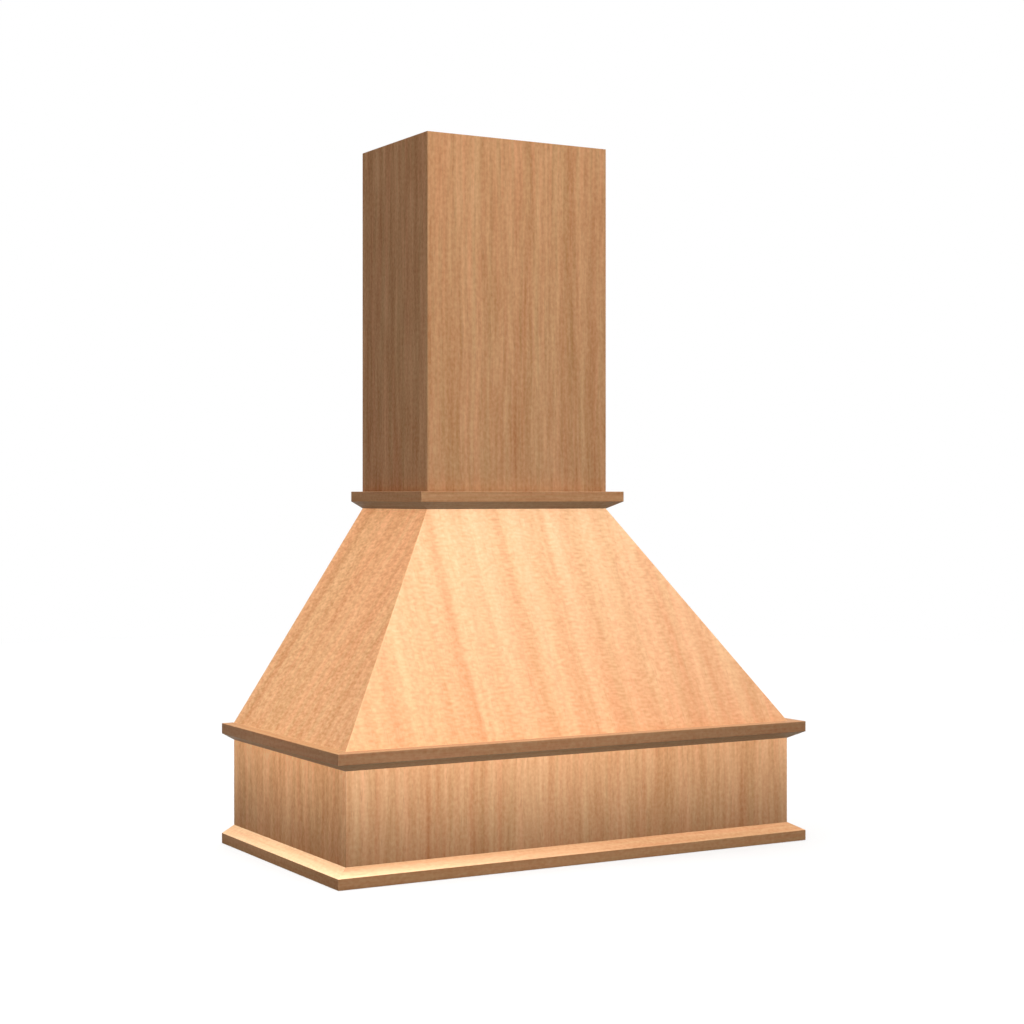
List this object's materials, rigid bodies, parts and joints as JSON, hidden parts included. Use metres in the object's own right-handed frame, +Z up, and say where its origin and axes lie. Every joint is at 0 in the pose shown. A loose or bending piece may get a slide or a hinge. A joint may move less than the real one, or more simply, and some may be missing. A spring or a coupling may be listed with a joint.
{
  "type": "wooden range hood cover",
  "caption": "Wall-hung wooden cover for a cooker extractor: upright apron, tapered canopy and square chimney, dressed with mitred mouldings and open to the wall.",
  "frame": {"origin": "on the wall plane, midway along the underside of the base moulding and the lower wall rail", "axes": "+Z up; the front faces -Y and the wall is the plane Y = 0; +X to the right seen from the front"},
  "size_m": [0.914, 0.488, 1.242],
  "materials": {
    "face_veneer": "straight-grained reddish hardwood veneer, sanded, clear satin",
    "moulding_wood": "solid reddish hardwood, grain along the length, clear satin",
    "birch_ply": "unfinished birch plywood with ply edges in view",
    "poplar": "planed, unfinished pale hardwood",
    "screw_steel": "yellow zinc plated"
  },
  "bodies": {
    "root": {"apron_corner_block_left": "poplar", "apron_corner_block_right": "poplar", "apron_mitre_spline_left": "birch_ply", "apron_mitre_spline_right": "birch_ply", "apron_panel_front": "face_veneer", "apron_panel_left": "face_veneer", "apron_panel_right": "face_veneer", "base_moulding_front": "moulding_wood", "base_moulding_left": "moulding_wood", "base_moulding_right": "moulding_wood", "canopy_cleat_front": "poplar", "canopy_cleat_left": "poplar", "canopy_cleat_right": "poplar", "canopy_mitre_spline_left": "birch_ply", "canopy_mitre_spline_right": "birch_ply", "canopy_panel_front": "face_veneer", "canopy_panel_left": "face_veneer", "canopy_panel_right": "face_veneer", "canopy_wall_rail": "poplar", "chimney_cleat_front": "poplar", "chimney_cleat_left": "poplar", "chimney_cleat_right": "poplar", "chimney_cleat_screws": "screw_steel", "chimney_corner_block_left": "poplar", "chimney_corner_block_right": "poplar", "chimney_lower_wall_rail": "poplar", "chimney_mitre_spline_left": "birch_ply", "chimney_mitre_spline_right": "birch_ply", "chimney_panel_front": "face_veneer", "chimney_panel_left": "face_veneer", "chimney_panel_right": "face_veneer", "chimney_upper_wall_rail": "poplar", "collar_moulding_front": "moulding_wood", "collar_moulding_left": "moulding_wood", "collar_moulding_right": "moulding_wood", "hip_block_left": "poplar", "hip_block_right": "poplar", "insert_board": "birch_ply", "insert_board_screws": "screw_steel", "ledger_front": "poplar", "ledger_left": "poplar", "ledger_rear": "poplar", "ledger_right": "poplar", "lower_wall_rail": "poplar", "neck_frame_front": "birch_ply", "neck_frame_left": "birch_ply", "neck_frame_rear": "birch_ply", "neck_frame_right": "birch_ply", "neck_rail": "poplar", "shelf_frame_front": "birch_ply", "shelf_frame_left": "birch_ply", "shelf_frame_rear": "birch_ply", "shelf_frame_right": "birch_ply", "shelf_moulding_front": "moulding_wood", "shelf_moulding_left": "moulding_wood", "shelf_moulding_right": "moulding_wood"}
  },
  "joints": []
}
